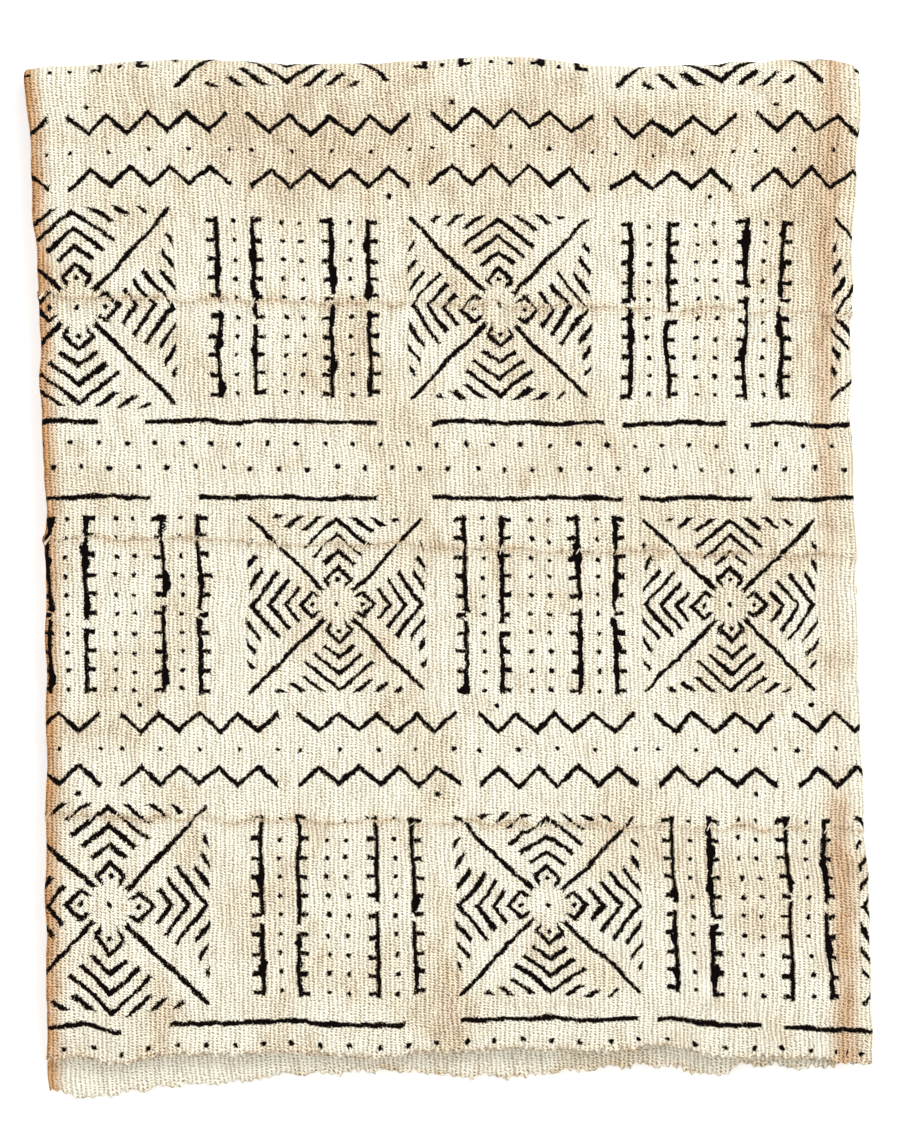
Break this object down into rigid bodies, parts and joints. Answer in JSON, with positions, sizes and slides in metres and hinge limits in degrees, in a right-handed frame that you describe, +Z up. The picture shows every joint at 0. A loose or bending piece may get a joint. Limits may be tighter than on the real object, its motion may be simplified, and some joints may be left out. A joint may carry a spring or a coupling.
{
  "type": "folded bogolan mud cloth",
  "caption": "Hand-woven cotton cloth of narrow strips sewn edge to edge, painted with dark mud-dyed diamonds and zigzags on cream, folded flat into a thick rectangle",
  "frame": {"origin": "on the surface the cloth lies on, under the middle of its outline", "axes": "+X along the strips, +Y across them towards the thick fold, +Z up from the surface"},
  "size_m": [0.4156, 0.5098, 0.0215],
  "materials": {
    "cotton": "coarse unbleached cotton weave, matt, with near-black painted marks"
  },
  "bodies": {
    "root": {"strip_1": "cotton", "strip_2": "cotton", "strip_3": "cotton", "strip_4": "cotton", "strip_5": "cotton", "strip_6": "cotton", "strip_7": "cotton", "strip_8": "cotton"}
  },
  "joints": []
}
